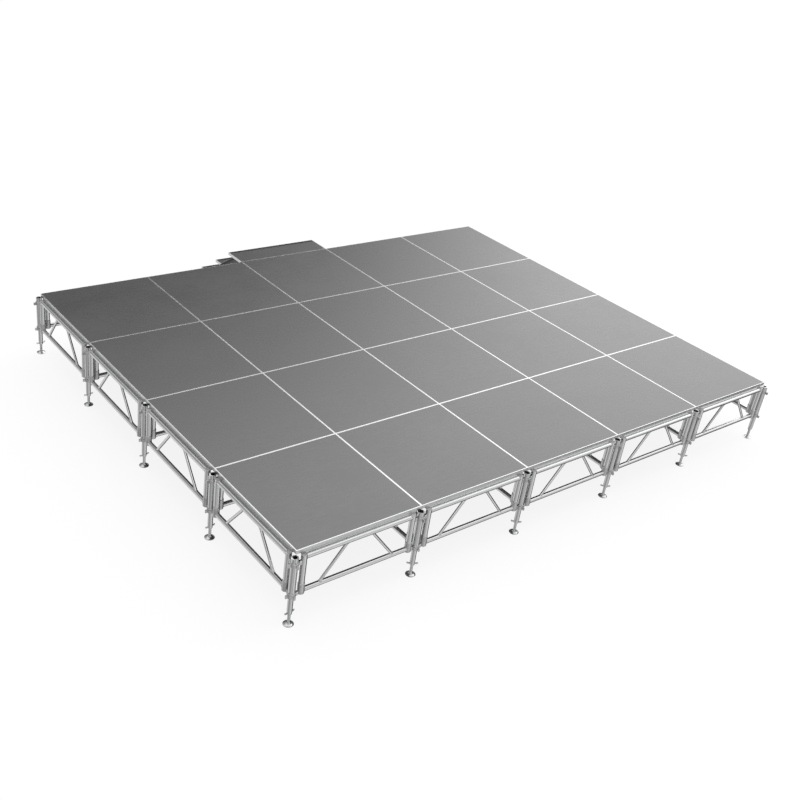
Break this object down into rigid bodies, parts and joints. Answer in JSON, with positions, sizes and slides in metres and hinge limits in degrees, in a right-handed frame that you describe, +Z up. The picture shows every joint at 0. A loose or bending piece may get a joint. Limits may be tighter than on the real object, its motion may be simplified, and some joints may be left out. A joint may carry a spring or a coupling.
{
  "type": "stage riser platform",
  "caption": "Low modular stage: square grey deck panels with aluminium edges on truss frames and screw-jack legs, with a short stair unit hooked on at the back.",
  "frame": {"origin": "centre of the footprint, stair included, on the floor", "axes": "+Z up; +X along the five-panel side, to the right seen from the front; +Y from the front to the stair at the back"},
  "size_m": [6.246, 5.94, 0.7],
  "materials": {
    "deck_board": "satin grey phenolic-faced plywood with a fine anti-slip grain",
    "deck_rail": "mill-finish extrusion",
    "truss_aluminium": "satin drawn tube",
    "post_aluminium": "satin extruded tube",
    "cast_aluminium": "fine cast",
    "zinc_steel": "bright zinc plate",
    "painted_steel": "dark satin powder coat",
    "rubber_foot": "matt moulded rubber"
  },
  "bodies": {
    "stage": {"deck_boards_row_1": "deck_board", "deck_edge_rails_row_1": "deck_rail", "deck_boards_row_2": "deck_board", "deck_edge_rails_row_2": "deck_rail", "deck_boards_row_3": "deck_board", "deck_edge_rails_row_3": "deck_rail", "deck_boards_row_4": "deck_board", "deck_edge_rails_row_4": "deck_rail", "deck_corner_plates": "cast_aluminium", "deck_cross_rails": "deck_rail", "deck_edge_ledges": "truss_aluminium", "leg_posts": "post_aluminium", "upper_lug_collars": "cast_aluminium", "lower_lug_collars": "cast_aluminium", "inner_legs": "post_aluminium", "leg_lock_screws": "zinc_steel", "jack_wing_nuts": "zinc_steel", "front_truss_frames": "truss_aluminium", "back_truss_frames": "truss_aluminium", "left_truss_frames": "truss_aluminium", "right_truss_frames": "truss_aluminium", "inner_truss_frames": "truss_aluminium", "truss_foot_sleeves": "cast_aluminium"},
    "stair": {"stair_stringers": "painted_steel", "stair_legs": "painted_steel", "stair_tread_frames": "deck_rail", "stair_tread_boards": "deck_board", "stair_cross_tubes": "painted_steel", "stair_feet": "rubber_foot", "stair_hook_blocks": "cast_aluminium"},
    "jack_1_1": {"screw_jack_1_1": "zinc_steel"},
    "jack_1_2": {"screw_jack_1_2": "zinc_steel"},
    "jack_1_3": {"screw_jack_1_3": "zinc_steel"},
    "jack_1_4": {"screw_jack_1_4": "zinc_steel"},
    "jack_1_5": {"screw_jack_1_5": "zinc_steel"},
    "jack_1_6": {"screw_jack_1_6": "zinc_steel"},
    "jack_2_1": {"screw_jack_2_1": "zinc_steel"},
    "jack_2_2": {"screw_jack_2_2": "zinc_steel"},
    "jack_2_3": {"screw_jack_2_3": "zinc_steel"},
    "jack_2_4": {"screw_jack_2_4": "zinc_steel"},
    "jack_2_5": {"screw_jack_2_5": "zinc_steel"},
    "jack_2_6": {"screw_jack_2_6": "zinc_steel"},
    "jack_3_1": {"screw_jack_3_1": "zinc_steel"},
    "jack_3_2": {"screw_jack_3_2": "zinc_steel"},
    "jack_3_3": {"screw_jack_3_3": "zinc_steel"},
    "jack_3_4": {"screw_jack_3_4": "zinc_steel"},
    "jack_3_5": {"screw_jack_3_5": "zinc_steel"},
    "jack_3_6": {"screw_jack_3_6": "zinc_steel"},
    "jack_4_1": {"screw_jack_4_1": "zinc_steel"},
    "jack_4_2": {"screw_jack_4_2": "zinc_steel"},
    "jack_4_3": {"screw_jack_4_3": "zinc_steel"},
    "jack_4_4": {"screw_jack_4_4": "zinc_steel"},
    "jack_4_5": {"screw_jack_4_5": "zinc_steel"},
    "jack_4_6": {"screw_jack_4_6": "zinc_steel"},
    "jack_5_1": {"screw_jack_5_1": "zinc_steel"},
    "jack_5_2": {"screw_jack_5_2": "zinc_steel"},
    "jack_5_3": {"screw_jack_5_3": "zinc_steel"},
    "jack_5_4": {"screw_jack_5_4": "zinc_steel"},
    "jack_5_5": {"screw_jack_5_5": "zinc_steel"},
    "jack_5_6": {"screw_jack_5_6": "zinc_steel"}
  },
  "joints": [
    {"name": "jack_1_1_height", "type": "slide", "parent": "stage", "child": "jack_1_1", "axis": [0, 0, -1], "range_m": [-0.06, 0.15]},
    {"name": "jack_1_2_height", "type": "slide", "parent": "stage", "child": "jack_1_2", "axis": [0, 0, -1], "range_m": [-0.06, 0.15]},
    {"name": "jack_1_3_height", "type": "slide", "parent": "stage", "child": "jack_1_3", "axis": [0, 0, -1], "range_m": [-0.06, 0.15]},
    {"name": "jack_1_4_height", "type": "slide", "parent": "stage", "child": "jack_1_4", "axis": [0, 0, -1], "range_m": [-0.06, 0.15]},
    {"name": "jack_1_5_height", "type": "slide", "parent": "stage", "child": "jack_1_5", "axis": [0, 0, -1], "range_m": [-0.06, 0.15]},
    {"name": "jack_1_6_height", "type": "slide", "parent": "stage", "child": "jack_1_6", "axis": [0, 0, -1], "range_m": [-0.06, 0.15]},
    {"name": "jack_2_1_height", "type": "slide", "parent": "stage", "child": "jack_2_1", "axis": [0, 0, -1], "range_m": [-0.06, 0.15]},
    {"name": "jack_2_2_height", "type": "slide", "parent": "stage", "child": "jack_2_2", "axis": [0, 0, -1], "range_m": [-0.06, 0.15]},
    {"name": "jack_2_3_height", "type": "slide", "parent": "stage", "child": "jack_2_3", "axis": [0, 0, -1], "range_m": [-0.06, 0.15]},
    {"name": "jack_2_4_height", "type": "slide", "parent": "stage", "child": "jack_2_4", "axis": [0, 0, -1], "range_m": [-0.06, 0.15]},
    {"name": "jack_2_5_height", "type": "slide", "parent": "stage", "child": "jack_2_5", "axis": [0, 0, -1], "range_m": [-0.06, 0.15]},
    {"name": "jack_2_6_height", "type": "slide", "parent": "stage", "child": "jack_2_6", "axis": [0, 0, -1], "range_m": [-0.06, 0.15]},
    {"name": "jack_3_1_height", "type": "slide", "parent": "stage", "child": "jack_3_1", "axis": [0, 0, -1], "range_m": [-0.06, 0.15]},
    {"name": "jack_3_2_height", "type": "slide", "parent": "stage", "child": "jack_3_2", "axis": [0, 0, -1], "range_m": [-0.06, 0.15]},
    {"name": "jack_3_3_height", "type": "slide", "parent": "stage", "child": "jack_3_3", "axis": [0, 0, -1], "range_m": [-0.06, 0.15]},
    {"name": "jack_3_4_height", "type": "slide", "parent": "stage", "child": "jack_3_4", "axis": [0, 0, -1], "range_m": [-0.06, 0.15]},
    {"name": "jack_3_5_height", "type": "slide", "parent": "stage", "child": "jack_3_5", "axis": [0, 0, -1], "range_m": [-0.06, 0.15]},
    {"name": "jack_3_6_height", "type": "slide", "parent": "stage", "child": "jack_3_6", "axis": [0, 0, -1], "range_m": [-0.06, 0.15]},
    {"name": "jack_4_1_height", "type": "slide", "parent": "stage", "child": "jack_4_1", "axis": [0, 0, -1], "range_m": [-0.06, 0.15]},
    {"name": "jack_4_2_height", "type": "slide", "parent": "stage", "child": "jack_4_2", "axis": [0, 0, -1], "range_m": [-0.06, 0.15]},
    {"name": "jack_4_3_height", "type": "slide", "parent": "stage", "child": "jack_4_3", "axis": [0, 0, -1], "range_m": [-0.06, 0.15]},
    {"name": "jack_4_4_height", "type": "slide", "parent": "stage", "child": "jack_4_4", "axis": [0, 0, -1], "range_m": [-0.06, 0.15]},
    {"name": "jack_4_5_height", "type": "slide", "parent": "stage", "child": "jack_4_5", "axis": [0, 0, -1], "range_m": [-0.06, 0.15]},
    {"name": "jack_4_6_height", "type": "slide", "parent": "stage", "child": "jack_4_6", "axis": [0, 0, -1], "range_m": [-0.06, 0.15]},
    {"name": "jack_5_1_height", "type": "slide", "parent": "stage", "child": "jack_5_1", "axis": [0, 0, -1], "range_m": [-0.06, 0.15]},
    {"name": "jack_5_2_height", "type": "slide", "parent": "stage", "child": "jack_5_2", "axis": [0, 0, -1], "range_m": [-0.06, 0.15]},
    {"name": "jack_5_3_height", "type": "slide", "parent": "stage", "child": "jack_5_3", "axis": [0, 0, -1], "range_m": [-0.06, 0.15]},
    {"name": "jack_5_4_height", "type": "slide", "parent": "stage", "child": "jack_5_4", "axis": [0, 0, -1], "range_m": [-0.06, 0.15]},
    {"name": "jack_5_5_height", "type": "slide", "parent": "stage", "child": "jack_5_5", "axis": [0, 0, -1], "range_m": [-0.06, 0.15]},
    {"name": "jack_5_6_height", "type": "slide", "parent": "stage", "child": "jack_5_6", "axis": [0, 0, -1], "range_m": [-0.06, 0.15]},
    {"name": "stair_lift", "type": "slide", "parent": "stage", "child": "stair", "axis": [0, 0, 1], "range_m": [0, 0.25]}
  ]
}
